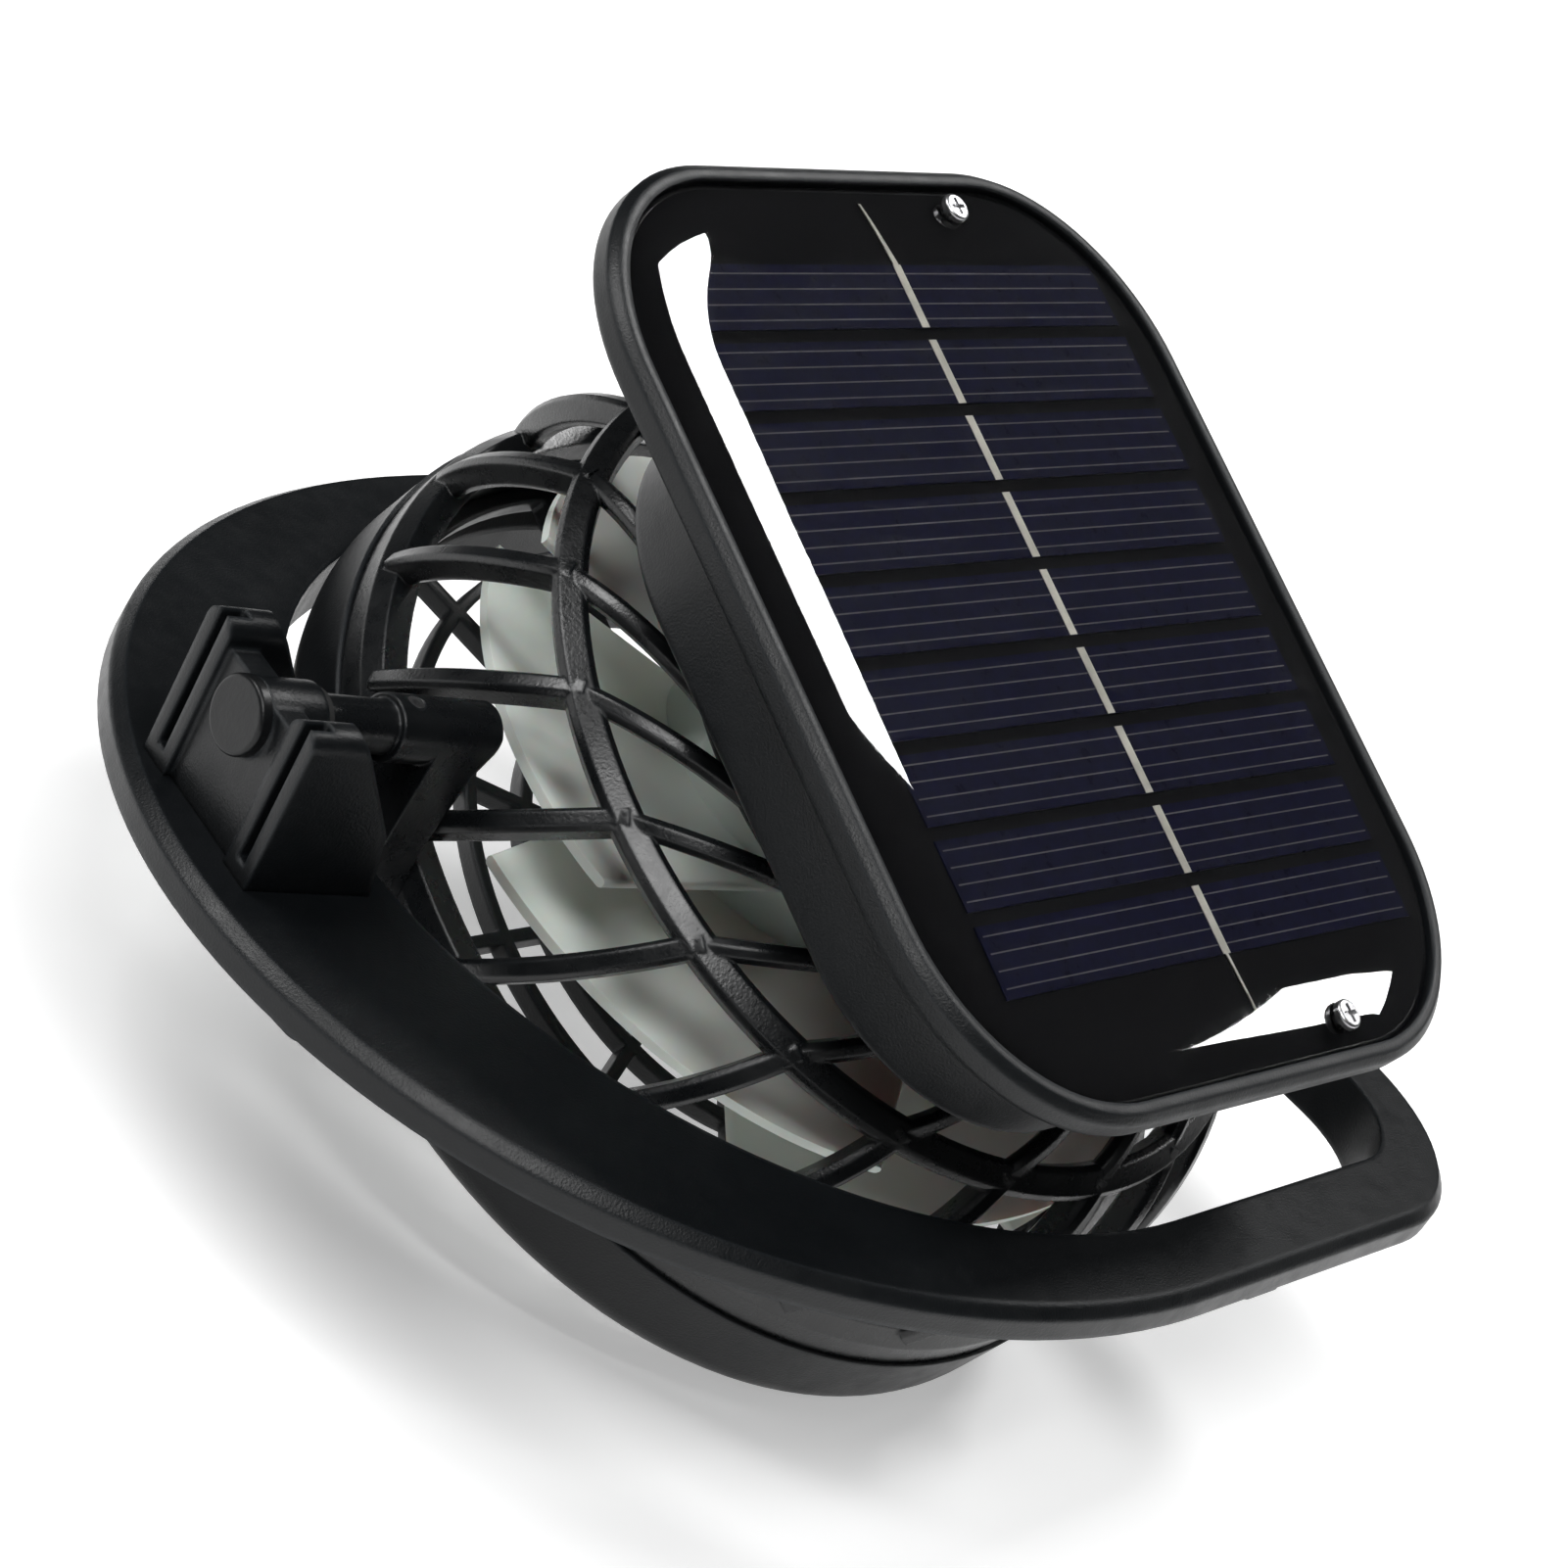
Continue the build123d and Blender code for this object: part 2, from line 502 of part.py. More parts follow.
# ---- tilt hinge: knuckle on the fan, pin with its round head, set screw, washer -------------------
SLEEVE_X0, SLEEVE_R = -80.4, 2.9
KNUCKLE_X0, KNUCKLE_X1 = -71.0, -57.5
KNUCKLE_R = 3.6
ARM_X0, ARM_DROP = -65.5, 25.0
SET_SCREW_X = -68.5
skin = 0.06              # gap left between the knuckle's foot and the cage it is bonded to
with BuildPart(fan) as envelope:
    add(turned(((0, -2), (RIM_R + skin, -2), (RIM_R + skin, RIM_H + skin),
                (RIM_R - 0.5 + skin, RIM_H + skin), (RIM_R - 0.5 + skin, BASE_TOP - 2.4),
                (RIM_R, BASE_TOP + 2), (RIM_R - 0.8, 30.0), (NODE_R + 5.5, NODE_Z),
                (0, NODE_Z + 6))))
with BuildPart() as knuckle:
    with BuildSketch(pin_line.offset(SLEEVE_X0)):
        Circle(SLEEVE_R)
    extrude(amount=KNUCKLE_X1 - SLEEVE_X0)
    with BuildSketch(pin_line.offset(KNUCKLE_X0)):
        Circle(KNUCKLE_R)
    extrude(amount=KNUCKLE_X1 - KNUCKLE_X0)
    with BuildSketch(pin_line.offset(ARM_X0)):
        with Locations((0, -ARM_DROP / 2)):
            Rectangle(2 * KNUCKLE_R, ARM_DROP)
    extrude(amount=KNUCKLE_X1 - ARM_X0 + 3)
    add(envelope.part, mode=Mode.SUBTRACT)
    with BuildSketch(pin_line.offset(SLEEVE_X0)):
        Circle(PIN_R)
    extrude(amount=30, mode=Mode.SUBTRACT)
    with BuildSketch(Plane.XY.offset(PIN_Z)):
        with Locations((SET_SCREW_X, 0)):
            Circle(1.0)
    extrude(amount=10, mode=Mode.SUBTRACT)
save(knuckle.part, "tilt_knuckle")

HEAD_X = BRACKET_X - 0.9
PIN_END = KNUCKLE_X1 - 3.0
with BuildPart() as pin:
    with BuildSketch(pin_line.offset(HEAD_X)):
        Circle(PIN_R)
    extrude(amount=PIN_END - HEAD_X)
    with BuildSketch(pin_line.offset(HEAD_X - PIN_HEAD_T)):
        Circle(PIN_HEAD_R)
    extrude(amount=PIN_HEAD_T)
    fillet(pin.faces().sort_by(Axis.X)[0].edges(), 0.5)
save(pin.part, "tilt_pin")

with BuildPart() as set_screw:
    with BuildSketch(Plane.XY.offset(PIN_Z + PIN_R)):
        with Locations((SET_SCREW_X, 0)):
            Circle(0.97)
    extrude(amount=1.5)
    with BuildSketch(Plane.XY.offset(PIN_Z + PIN_R + 1.5)):
        with Locations((SET_SCREW_X, 0)):
            RegularPolygon(0.5, 6)
    extrude(amount=-1.0, mode=Mode.SUBTRACT)
save(set_screw.part, "pin_set_screw")

BOSS_X1 = SLEEVE_X0 - 1.1
with BuildPart() as washer:
    with BuildSketch(pin_line.offset(BOSS_X1 + 0.1)):
        Circle(3.6)
        Circle(PIN_R, mode=Mode.SUBTRACT)
    extrude(amount=SLEEVE_X0 - BOSS_X1 - 0.1)
save(washer.part, "friction_washer")

# ---- loop handle: flat ring, round at the heel and squared at the open end ------------------------
def loop_outline(middle, heel, half_w, end, corner):
    """Half an ellipse at the heel, straight sides and a squared end with round corners."""
    with BuildSketch() as outline:
        with BuildLine():
            EllipticalCenterArc((middle, 0), heel, half_w, 90, arc_size=180)
            Line((middle, -half_w), (end - corner, -half_w))
            CenterArc((end - corner, corner - half_w), corner, -90, 90)
            Line((end, corner - half_w), (end, half_w - corner))
            CenterArc((end - corner, half_w - corner), corner, 0, 90)
            Line((end - corner, half_w), (middle, half_w))
        make_face()
    return outline.sketch


FEET = ((-83.0, -4.0), (20.0, -66.0), (20.0, 66.0))
bracket_screw_places = ((BRACKET_X + 6.0, -7.0), (BRACKET_X + 6.0, 7.0))
HEAD_SINK = 2.0
with BuildPart() as loop_handle:
    with BuildSketch(loop):
        add(loop_outline(LOOP_MIDDLE, LOOP_HEEL, LOOP_HALF_W, LOOP_END, LOOP_CORNER))
    extrude(amount=-LOOP_T)
    chamfer(loop_handle.faces().sort_by(Axis.Z)[-1].edges(), 1.3)
    with BuildSketch(loop.offset(-LOOP_T)):
        add(loop_outline(HOLE_MIDDLE, HOLE_HEEL + SKIRT_T, HOLE_HALF_W + SKIRT_T,
                         HOLE_END + SKIRT_T, HOLE_CORNER + SKIRT_T))
        for place in FEET:
            with Locations(place):
                RectangleRounded(10.0, 7.0, 2.0)
    extrude(amount=LOOP_T - LOOP_DEPTH)
    with BuildSketch(loop.offset(1)):
        add(loop_outline(HOLE_MIDDLE, HOLE_HEEL, HOLE_HALF_W, HOLE_END, HOLE_CORNER))
    extrude(amount=-LOOP_DEPTH - 2, mode=Mode.SUBTRACT)
    with BuildSketch(Plane.XY):
        with Locations(*bracket_screw_places):
            Circle(1.1)
    extrude(amount=-LOOP_DEPTH, mode=Mode.SUBTRACT)
    with BuildSketch(Plane.XY.offset(HEAD_SINK - LOOP_T)):
        with Locations(*bracket_screw_places):
            Circle(2.3)
    extrude(amount=-LOOP_DEPTH, mode=Mode.SUBTRACT)
save(loop_handle.part, "loop_handle")
under = Plane(origin=(0, 0, HEAD_SINK - LOOP_T), x_dir=(1, 0, 0), z_dir=(0, 0, -1))
save(screws(under, [(x, -y) for x, y in bracket_screw_places], 2.1, 1.3, 1.05, 7.5), "bracket_screws")

# ---- bracket on the loop: two grooved rails, front plate, pin boss --------------------------------
BRACKET_LEAN = 5.5      # the front leans out over the loop's edge
RAIL_Y = BRACKET_HALF_W - RAIL_W / 2
lean_out = RAIL_H * sin(radians(BRACKET_LEAN)) / cos(radians(BRACKET_LEAN))
side = Plane(origin=(0, 0, 0), x_dir=(1, 0, 0), z_dir=(0, -1, 0))
front = Plane(origin=(BRACKET_X, 0, 0), x_dir=(0, -1, 0),
              z_dir=(-cos(radians(BRACKET_LEAN)), 0, -sin(radians(BRACKET_LEAN))))
PLATE_BACK, BOSS_R, FOOT_T = 3.0, 4.1, 2.5
with BuildPart() as bracket:
    with BuildSketch(side.offset(-BRACKET_HALF_W)):
        with BuildLine():
            Polyline((BRACKET_X + BRACKET_DEPTH, 0), (BRACKET_X, 0), (BRACKET_X - lean_out, RAIL_H),
                     (BRACKET_X - lean_out + 6.5, RAIL_H), (BRACKET_X + BRACKET_DEPTH - 2.5, 8.0),
                     close=True)
        make_face()
    extrude(amount=2 * BRACKET_HALF_W)
    with BuildSketch(Plane.XY.offset(FOOT_T)):
        with Locations((BRACKET_X + PLATE_BACK + 20, 0)):
            Rectangle(40, 2 * (BRACKET_HALF_W - RAIL_W))
    extrude(amount=RAIL_H, mode=Mode.SUBTRACT)
    with BuildSketch(pin_line.offset(BRACKET_X - 10)):
        with Locations((-RAIL_Y, -PIN_Z), (RAIL_Y, -PIN_Z)):
            RectangleRounded(RAIL_W, 2 * RAIL_H, 2.0)
        with Locations((0, -PIN_Z)):
            Rectangle(2 * RAIL_Y, 2 * PLATE_H)
    extrude(amount=40, mode=Mode.INTERSECT)
    with BuildSketch(front):
        with Locations((0, RAIL_H / 2)):
            Rectangle(2 * (BRACKET_HALF_W - RAIL_W), RAIL_H + 2)
    extrude(amount=-0.9, mode=Mode.SUBTRACT)
    with BuildSketch(front):
        with Locations((-RAIL_Y, RAIL_H / 2 + 2), (RAIL_Y, RAIL_H / 2 + 2)):
            Rectangle(RAIL_SLOT, RAIL_H)
    extrude(amount=-RAIL_SLOT_D, mode=Mode.SUBTRACT)
    with BuildSketch(pin_line.offset(HEAD_X + 0.1)):
        Circle(BOSS_R)
    extrude(amount=BOSS_X1 - HEAD_X - 0.1)
    with BuildSketch(pin_line.offset(BRACKET_X - 10)):
        Circle(PIN_R + RUNNING)
    extrude(amount=40, mode=Mode.SUBTRACT)
    with BuildSketch(Plane.XY):
        with Locations(*bracket_screw_places):
            Circle(1.06)
    extrude(amount=5.6, mode=Mode.SUBTRACT)
save(bracket.part, "loop_bracket")
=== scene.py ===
"""Looks of the solar fan on a loop handle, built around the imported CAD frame.

Lengths are in metres, except in the panel and fan coordinates, which are in millimetres.
"""
import json
from math import cos, pi, radians, sin

import bmesh
import bpy
from mathutils import Matrix, Vector


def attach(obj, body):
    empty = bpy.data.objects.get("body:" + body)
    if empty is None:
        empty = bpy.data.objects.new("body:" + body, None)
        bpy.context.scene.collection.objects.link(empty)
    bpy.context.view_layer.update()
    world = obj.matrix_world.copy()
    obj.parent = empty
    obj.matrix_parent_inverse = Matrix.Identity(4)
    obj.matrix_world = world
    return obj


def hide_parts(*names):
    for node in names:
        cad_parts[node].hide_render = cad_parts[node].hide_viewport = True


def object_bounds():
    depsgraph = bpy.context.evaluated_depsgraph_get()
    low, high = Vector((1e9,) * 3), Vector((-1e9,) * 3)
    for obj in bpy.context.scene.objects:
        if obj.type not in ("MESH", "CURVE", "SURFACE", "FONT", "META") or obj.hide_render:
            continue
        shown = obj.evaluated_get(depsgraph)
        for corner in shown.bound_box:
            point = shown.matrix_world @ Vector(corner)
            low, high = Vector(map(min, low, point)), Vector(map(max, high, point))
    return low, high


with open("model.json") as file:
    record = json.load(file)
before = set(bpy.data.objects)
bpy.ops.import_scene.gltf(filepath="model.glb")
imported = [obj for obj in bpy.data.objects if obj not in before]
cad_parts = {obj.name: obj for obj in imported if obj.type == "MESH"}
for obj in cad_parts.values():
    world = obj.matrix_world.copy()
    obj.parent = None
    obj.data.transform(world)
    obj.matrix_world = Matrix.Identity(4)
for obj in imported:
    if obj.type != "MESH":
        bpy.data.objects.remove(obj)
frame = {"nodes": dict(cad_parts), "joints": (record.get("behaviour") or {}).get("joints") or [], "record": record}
cad_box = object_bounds()
MM = 0.001

# ---- the fan's own frame, read from its joints ---------------------------------------------------
joints = {j["name"]: j for j in frame["joints"]}
fan_up = Vector(joints["impeller_spin"]["axis"]).normalized()
fan_side = -Vector(joints["power_button_press"]["axis"]).normalized()
fan_back = fan_up.cross(fan_side)
fan_face = Vector(joints["impeller_spin"]["pos_m"])
PANEL_SHIFT = 6.3 * MM      # from the fan's axis to the middle of the solar panel


def in_fan(x, y, z):
    """A point in the fan's own frame, millimetres, as a place in the part's frame."""
    return fan_face + (fan_side * x + fan_back * y + fan_up * z) * MM


def in_panel(x, y, z):
    """The same from the middle of the solar panel, which sits off the fan's axis."""
    return in_fan(x, y, z) + fan_back * PANEL_SHIFT


# ---- materials -----------------------------------------------------------------------------------
class Nodes:
    """A material's node tree with short calls for the nodes used here."""

    def __init__(self, name):
        self.material = bpy.data.materials.new(name)
        self.material.use_nodes = True
        self.tree = self.material.node_tree
        self.shader = self.tree.nodes["Principled BSDF"]
        self.place = self.tree.nodes.new("ShaderNodeTexCoord").outputs["Object"]

    def link(self, source, target):
        self.tree.links.new(source, target)

    def paint(self, source, socket="Base Color"):
        """Feeds one input of the shader."""
        self.link(source, self.shader.inputs[socket])

    def node(self, kind, **values):
        made = self.tree.nodes.new(kind)
        for key, value in values.items():
            setattr(made, key, value)
        return made

    def set(self, **values):
        """Sets constants on the shader; an underscore in a name stands for a space."""
        for key, value in values.items():
            self.shader.inputs[key.replace("_", " ")].default_value = value

    def noise(self, scale, detail=3.0, rough=0.55):
        made = self.node("ShaderNodeTexNoise")
        made.inputs["Scale"].default_value = scale
        made.inputs["Detail"].default_value = detail
        made.inputs["Roughness"].default_value = rough
        self.link(self.place, made.inputs["Vector"])
        return made.outputs["Fac"]

    def ramp(self, source, low, high, start=0.3, end=0.7):
        """A colour that goes from low to high while the source goes from start to end."""
        made = self.node("ShaderNodeValToRGB")
        for element, at, colour in zip(made.color_ramp.elements, (start, end), (low, high)):
            element.position = at
            element.color = (*colour, 1)
        self.link(source, made.inputs["Fac"])
        return made.outputs["Color"]

    def span(self, source, low, high, start=0.3, end=0.7):
        """A number that goes from low to high while the source goes from start to end."""
        made = self.node("ShaderNodeMapRange")
        made.inputs["From Min"].default_value = start
        made.inputs["From Max"].default_value = end
        made.inputs["To Min"].default_value = low
        made.inputs["To Max"].default_value = high
        self.link(source, made.inputs["Value"])
        return made.outputs["Result"]

    def bump(self, source, distance, strength=1.0, under=None):
        """Relief on the shader's normal, laid over another normal where one is given."""
        made = self.node("ShaderNodeBump")
        made.inputs["Strength"].default_value = strength
        made.inputs["Distance"].default_value = distance
        self.link(source, made.inputs["Height"])
        if under:
            self.link(under, made.inputs["Normal"])
        self.paint(made.outputs["Normal"], "Normal")


EDGE_SAMPLES = 6
EDGE_TURN = 0.80, 0.99      # cosines between the rounded and the flat normal: full edge, no edge
EDGE_RUB = 3.0              # how much lighter a rubbed edge is


def soft_edges(n, width):
    """The surface's normal with its edges rounded, and how near an edge each point is."""
    bevel = n.node("ShaderNodeBevel", samples=EDGE_SAMPLES)
    bevel.inputs["Radius"].default_value = width
    geometry = n.node("ShaderNodeNewGeometry")
    dot = n.node("ShaderNodeVectorMath", operation="DOT_PRODUCT")
    n.link(bevel.outputs["Normal"], dot.inputs[0])
    n.link(geometry.outputs["Normal"], dot.inputs[1])
    return bevel.outputs["Normal"], n.span(dot.outputs["Value"], 1.0, 0.0, *EDGE_TURN)


def moulded(name, dark, light, rough, grain, grain_depth, specular=0.4, edge=0.0):
    """Moulded plastic: fine grain, slow tone drift, scuffs that change the gloss, rubbed edges."""
    n = Nodes(name)
    tone = n.ramp(n.noise(scale=38.0, detail=4.0), dark, light, end=0.75)
    scuff = n.noise(scale=260.0, detail=6.0, rough=0.7)
    n.paint(n.span(scuff, rough - 0.05, rough + 0.07, start=0.35), "Roughness")
    n.set(Specular_IOR_Level=specular)
    rounded = None
    if edge:
        rounded, near_edge = soft_edges(n, edge)
        mix = n.node("ShaderNodeMix", data_type="RGBA")
        mix.inputs["B"].default_value = (*(EDGE_RUB * c for c in light), 1.0)
        n.link(near_edge, mix.inputs["Factor"])
        n.link(tone, mix.inputs["A"])
        tone = mix.outputs["Result"]
    n.paint(tone)
    n.bump(n.noise(grain, detail=2.0, rough=0.5), grain_depth, under=rounded)
    return n.material


def metal(name, colour, rough, scratch=900.0):
    """Plated or bare metal with stains and fine scratches."""
    n = Nodes(name)
    stained = tuple(c * 0.7 for c in colour)
    n.paint(n.ramp(n.noise(scale=220.0, detail=4.0), stained, colour))
    n.paint(n.span(n.noise(scratch, detail=5.0), rough - 0.06, rough + 0.1), "Roughness")
    n.set(Metallic=1.0)
    n.bump(n.noise(scratch * 2, detail=2.0), 0.00002, strength=0.4)
    return n.material


def resin_material():
    """Poured clear resin: hard gloss with faint waviness."""
    n = Nodes("poured_resin")
    n.set(Base_Color=(0.98, 0.985, 1.0, 1.0), IOR=1.5, Transmission_Weight=1.0)
    n.paint(n.span(n.noise(scale=600.0), 0.005, 0.03), "Roughness")
    n.bump(n.noise(scale=45.0, detail=1.0), 0.00006, strength=0.6)
    return n.material


def cell_material():
    """Dark navy silicon with a fine crystal mottling."""
    n = Nodes("navy_silicon")
    mottle = n.noise(scale=420.0, detail=6.0, rough=0.7)
    n.paint(n.ramp(mottle, (0.0020, 0.0024, 0.0150), (0.0036, 0.0042, 0.0270)))
    n.paint(n.span(mottle, 0.25, 0.4), "Roughness")
    n.set(Specular_IOR_Level=0.06)
    n.bump(n.noise(scale=5200.0, detail=2.0), 0.00001, strength=0.5)
    return n.material


def blade_material():
    """Smoky translucent grey-green plastic."""
    n = Nodes("smoky_blade")
    n.paint(n.ramp(n.noise(scale=30.0, detail=2.0), (0.74, 0.79, 0.74), (0.82, 0.87, 0.82)))
    n.set(Transmission_Weight=0.06, IOR=1.45, Subsurface_Weight=0.2, Subsurface_Scale=0.003)
    n.paint(n.span(n.noise(scale=300.0), 0.32, 0.45), "Roughness")
    n.bump(n.noise(scale=700.0, detail=2.0), 0.00003, strength=0.5)
    return n.material


def wrap_material():
    """Silvery laminated film of a pouch cell, with creases."""
    n = Nodes("pouch_film")
    crease = n.noise(scale=160.0, rough=0.8)
    n.paint(n.ramp(crease, (0.30, 0.32, 0.35), (0.42, 0.44, 0.47)))
    n.set(Metallic=0.6)
    n.paint(n.span(crease, 0.3, 0.45), "Roughness")
    n.bump(crease, 0.0003, strength=0.6)
    return n.material


def board_material():
    """Green solder mask over copper tracks."""
    n = Nodes("solder_mask")
    tracks = n.node("ShaderNodeTexBrick")
    tracks.inputs["Scale"].default_value = 300.0
    tracks.inputs["Color1"].default_value = (0.01, 0.10, 0.05, 1)
    tracks.inputs["Color2"].default_value = (0.012, 0.13, 0.06, 1)
    tracks.inputs["Mortar"].default_value = (0.02, 0.2, 0.09, 1)
    n.link(n.place, tracks.inputs["Vector"])
    n.paint(tracks.outputs["Color"])
    n.set(Roughness=0.3)
    n.bump(n.noise(scale=900.0), 0.00003, strength=0.5)
    return n.material


def lens_material():
    """Frosted clear light pipe, unlit."""
    n = Nodes("frosted_lens")
    n.set(Base_Color=(0.9, 0.93, 0.95, 1.0), Transmission_Weight=0.8, IOR=1.49)
    n.paint(n.span(n.noise(scale=900.0), 0.25, 0.4), "Roughness")
    return n.material


MATERIALS = {
    "black_shell": moulded("black_shell", (0.0034, 0.0042, 0.0050), (0.0055, 0.0066, 0.0076), rough=0.38,
                           grain=3600.0, grain_depth=0.00004, specular=0.32, edge=0.0009),
    "black_cage": moulded("black_cage", (0.0032, 0.0038, 0.0044), (0.0052, 0.0060, 0.0068), rough=0.29,
                          grain=2600.0, grain_depth=0.00003, specular=0.55, edge=0.0005),
    "steel": metal("plated_steel", (0.62, 0.62, 0.63), rough=0.3),
    "bronze": metal("sintered_bronze", (0.42, 0.27, 0.14), rough=0.5),
    "magnet": moulded("ferrite", (0.02, 0.02, 0.022), (0.035, 0.035, 0.037), rough=0.5,
                      grain=1200.0, grain_depth=0.0001),
    "blade_plastic": blade_material(),
    "battery_wrap": wrap_material(),
    "circuit_board": board_material(),
    "button_plastic": moulded("button_plastic", (0.02, 0.021, 0.023), (0.03, 0.031, 0.034), rough=0.45,
                              grain=2400.0, grain_depth=0.00003),
    "switch_plastic": moulded("switch_plastic", (0.008, 0.008, 0.008), (0.012, 0.012, 0.012), rough=0.3,
                              grain=2000.0, grain_depth=0.00002),
    "light_pipe": lens_material(),
    "panel_backing": moulded("panel_laminate", (0.0008, 0.0009, 0.0014), (0.0014, 0.0016, 0.0024), rough=0.5,
                             grain=1500.0, grain_depth=0.00001, specular=0.1),
    "cell_silicon": cell_material(),
    "tab_silver": metal("tinned_ribbon", (0.86, 0.83, 0.74), rough=0.55, scratch=1600.0),
    "clear_resin": resin_material(),
    "pin_plastic": moulded("pin_plastic", (0.0034, 0.0038, 0.0042), (0.0055, 0.0060, 0.0066), rough=0.36,
                           grain=1800.0, grain_depth=0.00003, specular=0.3),
    "washer_rubber": moulded("washer_rubber", (0.012, 0.012, 0.012), (0.02, 0.02, 0.02), rough=0.7,
                             grain=1500.0, grain_depth=0.00005),
}
slots = {row["node"]: row["material_slot"] for row in frame["record"]["subparts"]}
for node, thing in frame["nodes"].items():
    for spot in thing.material_slots:
        spot.material = MATERIALS[slots[node]]


def into_scene(name, mesh):
    """A new object in the scene, made of a bmesh that is then let go."""
    data = bpy.data.meshes.new(name)
    mesh.to_mesh(data)
    mesh.free()
    made = bpy.data.objects.new(name, data)
    bpy.context.scene.collection.objects.link(made)
    return made


def piece(name, mesh, material_slot, body, *stands_for, look=None):
    """A finished new piece: an object with its material, riding on a body."""
    mesh.normal_update()
    made = into_scene(name, mesh)
    made.data.materials.append(look or MATERIALS[material_slot])
    for face in made.data.polygons:
        face.use_smooth = True
    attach(made, body)
    if stands_for:
        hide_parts(*stands_for)
    return made


# ---- the poured resin: a dome that falls away all round its edge ---------------------------------
# Heights and widths on the panel are in millimetres.
TRAY_W, TRAY_L, TRAY_ROUND = 97.2, 114.8, 25.7
RESIN_INSET = 2.4
RESIN_EDGE_Z, RESIN_TOP_Z = 63.65, 65.15
RESIN_UNDER_Z = 62.9        # within the panel's board, so that no air lies under the resin
RESIN_SHOULDER = 10.5       # the dome reaches its full height this far in from its edge
RESIN_CAP_STEP = 0.5        # a narrow flat ring keeps the shoulder's shading off the flat top
CORNER_STEPS = 16
SHOULDER_STEPS = 20


def rounded_loop(mesh, inset, height):
    """One ring of points round the panel, inset from the tray's outline."""
    half_w, half_l = TRAY_W / 2 - inset, TRAY_L / 2 - inset
    radius = TRAY_ROUND - inset
    ring = []
    for quarter, (sx, sy) in enumerate(((1, 1), (-1, 1), (-1, -1), (1, -1))):
        for step in range(CORNER_STEPS + 1):
            angle = (quarter + step / CORNER_STEPS) * pi / 2
            x = sx * (half_w - radius) + radius * cos(angle)
            y = sy * (half_l - radius) + radius * sin(angle)
            ring.append(mesh.verts.new(in_panel(x, y, height)))
    return ring


def bridge(mesh, one, two):
    """Quads between two rings of equal count."""
    for i in range(len(one)):
        j = (i + 1) % len(one)
        mesh.faces.new((one[i], one[j], two[j], two[i]))


def resin_dome():
    """The resin: a flat underside, an elliptical shoulder and a flat top."""
    mesh = bmesh.new()
    last = rounded_loop(mesh, RESIN_INSET, RESIN_UNDER_Z)
    mesh.faces.new(list(reversed(last)))
    for step in range(SHOULDER_STEPS + 1):
        turn = step / SHOULDER_STEPS * pi / 2
        inset = RESIN_INSET + RESIN_SHOULDER * (1 - cos(turn))
        height = RESIN_EDGE_Z + (RESIN_TOP_Z - RESIN_EDGE_Z) * sin(turn)
        ring = rounded_loop(mesh, inset, height)
        bridge(mesh, last, ring)
        last = ring
    cap = rounded_loop(mesh, RESIN_INSET + RESIN_SHOULDER + RESIN_CAP_STEP, RESIN_TOP_Z)
    bridge(mesh, last, cap)
    mesh.faces.new(cap)
    made = piece("resin_dome", mesh, "clear_resin", "fan", "resin_cover")
    for face in made.data.polygons:
        face.use_smooth = len(face.vertices) == 4


# ---- printed fingers on the cells, and the bare ends of the ribbon -------------------------------
CELL_COUNT, CELL_PITCH, CELL_W = 9, 9.75, 77.0
CELL_X, CELL_Y, CELL_TOP = 2.0, 1.5, 63.35
FINGERS_PER_CELL, FINGER_PITCH = 4, 1.95
FINGER_W, FINGER_T = 0.16, 0.03
FINGER_MARGIN = 0.6         # from a finger's end to the cell's edge
FINGER_LOOK = metal("printed_finger", (0.16, 0.155, 0.17), rough=0.5)
RIBBON_OVERLAP = 0.8        # how far a bare end starts inside the row of cells
RIBBON_START_X = CELL_X + 1.0
RIBBON_SINK, RIBBON_RISE = 0.2, 0.1
SLAB_FACES = (3, 2, 1, 0), (4, 5, 6, 7), (0, 1, 5, 4), (1, 2, 6, 5), (2, 3, 7, 6), (3, 0, 4, 7)


def slab(mesh, outline, z0, z1):
    """A closed four-sided slab in panel coordinates."""
    corners = [mesh.verts.new(in_panel(x, y, z)) for z in (z0, z1) for x, y in outline]
    for face in SLAB_FACES:
        mesh.faces.new([corners[i] for i in face])


def ribbon_end(mesh, y0, x1, y1, start_w, end_w):
    """One bare end of the ribbon, drawn out to a narrow tail."""
    x0 = RIBBON_START_X
    outline = ((x0 - start_w / 2, y0), (x0 + start_w / 2, y0), (x1 + end_w / 2, y1), (x1 - end_w / 2, y1))
    slab(mesh, outline, CELL_TOP - RIBBON_SINK, CELL_TOP + RIBBON_RISE)


def flat_outward(made):
    """Outward faces and flat shading on a piece of flat slabs."""
    mesh = bmesh.new()
    mesh.from_mesh(made.data)
    bmesh.ops.recalc_face_normals(mesh, faces=mesh.faces)
    for face in mesh.faces:
        face.smooth = False
    mesh.to_mesh(made.data)
    mesh.free()


def ribbon_ends():
    """The ribbon's bare ends, drawn out beyond the first and last cells."""
    top = CELL_Y + CELL_COUNT / 2 * CELL_PITCH - RIBBON_OVERLAP
    bottom = CELL_Y - CELL_COUNT / 2 * CELL_PITCH + RIBBON_OVERLAP
    mesh = bmesh.new()
    ribbon_end(mesh, top, x1=CELL_X, y1=top + 8.0, start_w=0.9, end_w=0.3)
    ribbon_end(mesh, bottom, x1=CELL_X + 1.6, y1=bottom - 9.0, start_w=0.45, end_w=0.2)
    flat_outward(piece("ribbon_ends", mesh, "tab_silver", "fan"))


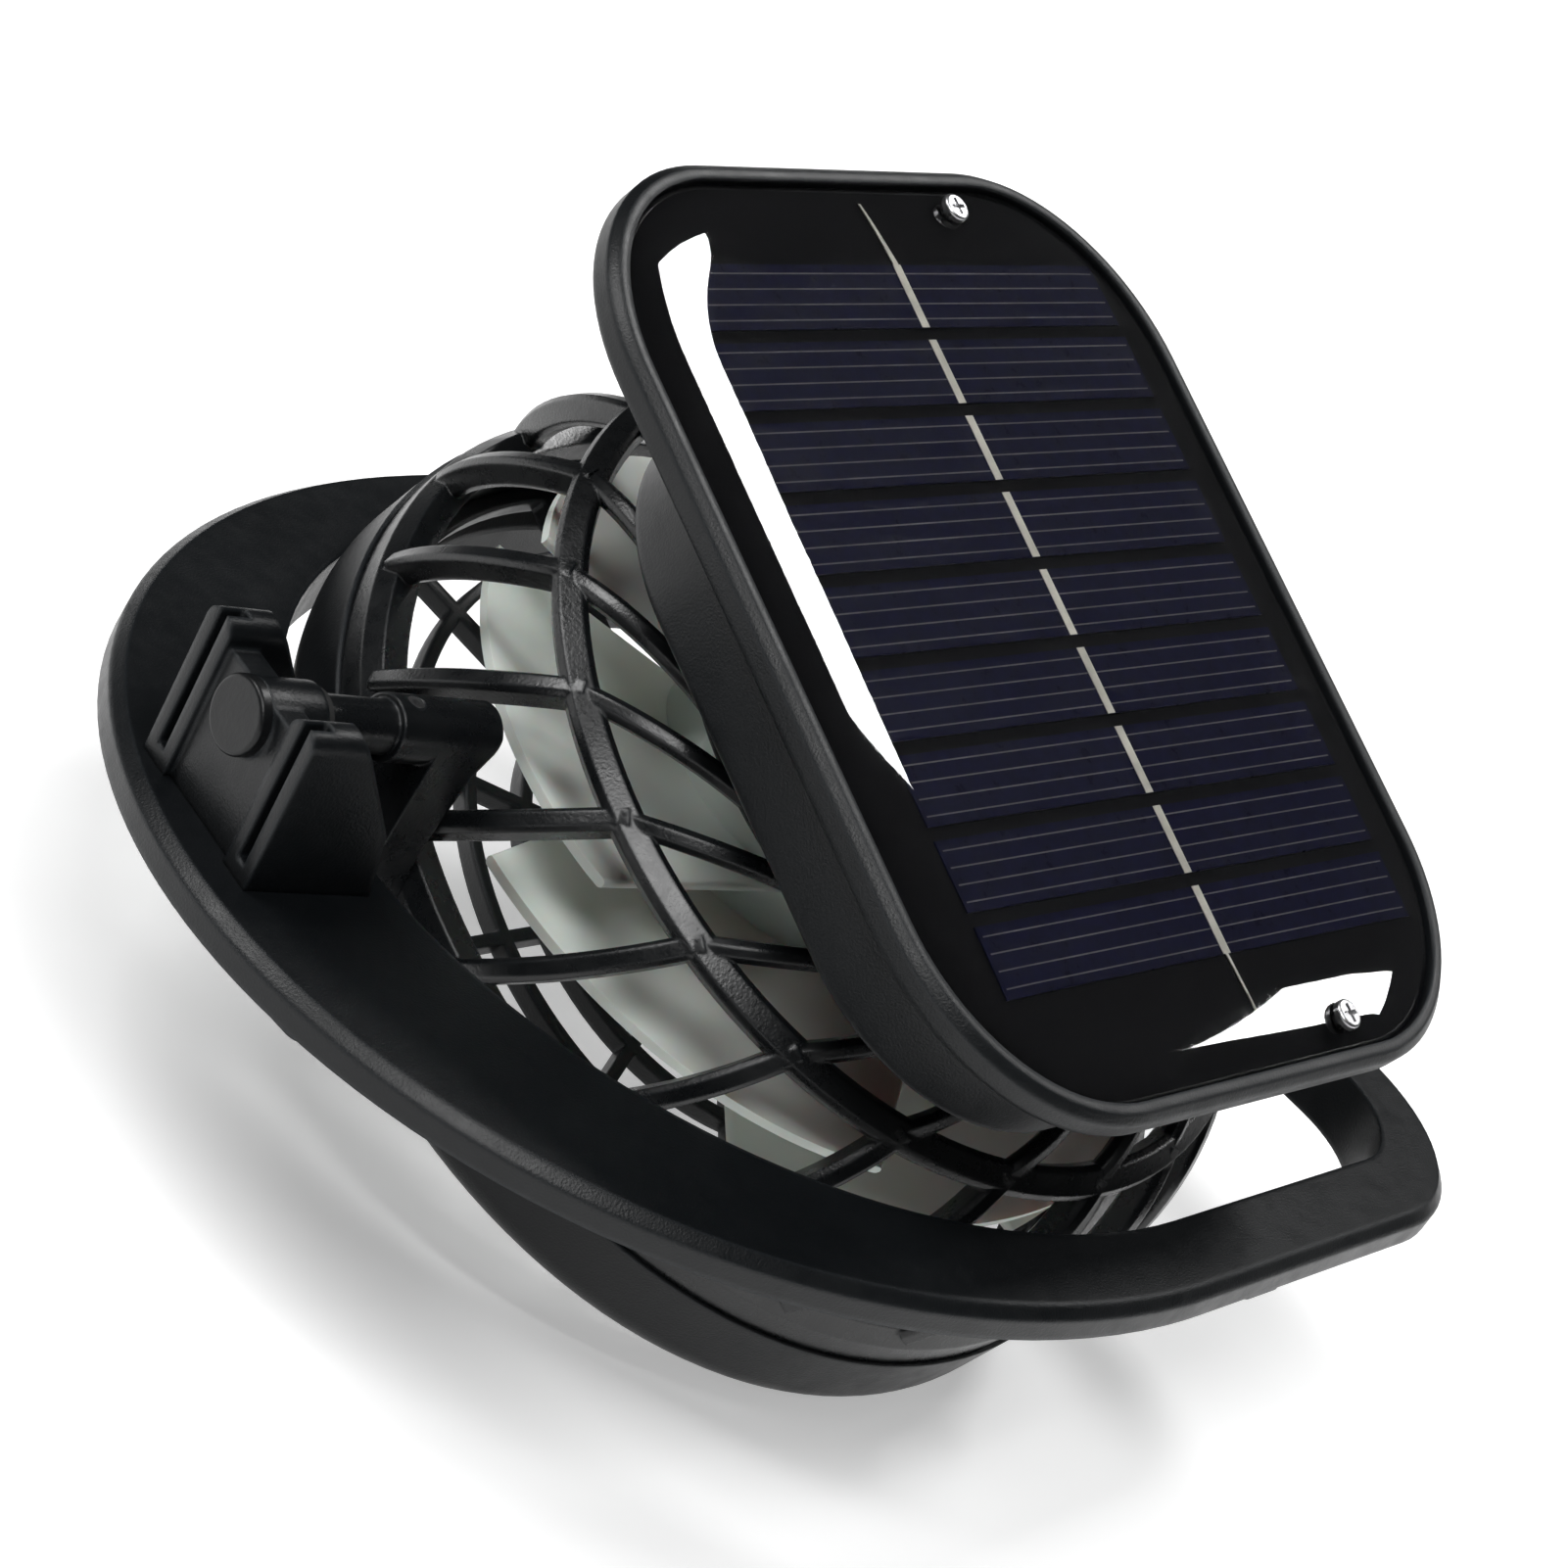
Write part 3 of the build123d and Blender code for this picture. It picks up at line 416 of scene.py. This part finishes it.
def cell_fingers():
    """The thin printed lines across every cell."""
    mesh = bmesh.new()
    x0, x1 = CELL_X - CELL_W / 2 + FINGER_MARGIN, CELL_X + CELL_W / 2 - FINGER_MARGIN
    for cell in range(CELL_COUNT):
        middle = CELL_Y + (cell - (CELL_COUNT - 1) / 2) * CELL_PITCH
        for line in range(FINGERS_PER_CELL):
            y = middle + (line - (FINGERS_PER_CELL - 1) / 2) * FINGER_PITCH
            y0, y1 = y - FINGER_W / 2, y + FINGER_W / 2
            slab(mesh, ((x0, y0), (x1, y0), (x1, y1), (x0, y1)), CELL_TOP, CELL_TOP + FINGER_T)
    flat_outward(piece("cell_fingers", mesh, "tab_silver", "fan", look=FINGER_LOOK))


resin_dome()
cell_fingers()
ribbon_ends()

# ---- camera, floor and studio light --------------------------------------------------------------
PHOTO_SIDE, FOCAL_PX, SENSOR = 1601, 4500.0, 36.0
CAMERA_RIGHT = 0.687, -0.5265, 0.500
CAMERA_UP = -0.0538, 0.6504, 0.7577
CAMERA_PLACE_MM = -367.3, -270.8, 217.1
CAMERA_NEAR = 0.01
FLOOR_DROP, FLOOR_HALF = 0.0005, 4.0
FLOOR_GLOW = 0.4            # lifts the shadow, as on a lit table
WORLD_COLOUR, WORLD_STRENGTH = (0.9, 0.93, 0.95, 1), 0.03


def camera():
    """A camera with the pose and focal length that were solved from the photo."""
    data = bpy.data.cameras.new("camera")
    data.sensor_width = SENSOR
    data.lens = FOCAL_PX / PHOTO_SIDE * SENSOR
    data.clip_start = CAMERA_NEAR
    made = bpy.data.objects.new("camera", data)
    bpy.context.scene.collection.objects.link(made)
    right = Vector(CAMERA_RIGHT).normalized()
    up = Vector(CAMERA_UP)
    up = (up - right * up.dot(right)).normalized()
    turned = Matrix((right, up, right.cross(up))).transposed().to_4x4()
    made.matrix_world = Matrix.Translation(Vector(CAMERA_PLACE_MM) * MM) @ turned
    bpy.context.scene.camera = made


def floor():
    """A large pale sheet just under the part."""
    mesh = bmesh.new()
    height = cad_box[0][2] - FLOOR_DROP
    corners = ((-1, -1), (1, -1), (1, 1), (-1, 1))
    mesh.faces.new([mesh.verts.new((x * FLOOR_HALF, y * FLOOR_HALF, height)) for x, y in corners])
    made = into_scene("floor", mesh)
    n = Nodes("pale_floor")
    n.paint(n.ramp(n.noise(scale=3.0, detail=2.0), (0.86, 0.86, 0.86), (0.9, 0.9, 0.9)))
    n.set(Roughness=0.9, Specular_IOR_Level=0.1, Emission_Color=(1, 1, 1, 1), Emission_Strength=FLOOR_GLOW)
    made.data.materials.append(n.material)


def softbox(name, azimuth, elevation, distance, width, height, watts):
    """An area light that faces the origin. Azimuth runs from +X towards +Y, elevation from the horizon."""
    data = bpy.data.lights.new(name, "AREA")
    data.shape = "RECTANGLE"
    data.size, data.size_y = width, height
    data.energy = watts
    made = bpy.data.objects.new(name, data)
    bpy.context.scene.collection.objects.link(made)
    a, e = radians(azimuth), radians(elevation)
    way = Vector((cos(a) * cos(e), sin(a) * cos(e), sin(e))).normalized()
    made.matrix_world = Matrix.Translation(way * distance) @ way.to_track_quat("Z", "Y").to_matrix().to_4x4()


camera()
floor()
softbox("panel_window", azimuth=15.5, elevation=50.4, distance=1.5, width=0.38, height=0.23, watts=6.5)
softbox("corner_window", azimuth=-5.0, elevation=34.0, distance=1.5, width=0.16, height=0.15, watts=2.0)
softbox("behind_camera", azimuth=-140.0, elevation=58.0, distance=2.2, width=1.2, height=1.0, watts=30.0)
softbox("far_side", azimuth=140.0, elevation=50.0, distance=2.0, width=0.8, height=0.8, watts=20.0)
world = bpy.data.worlds.new("studio")
world.use_nodes = True
world.node_tree.nodes["Background"].inputs["Color"].default_value = WORLD_COLOUR
world.node_tree.nodes["Background"].inputs["Strength"].default_value = WORLD_STRENGTH
bpy.context.scene.world = world
bpy.context.scene.view_settings.view_transform = "Standard"
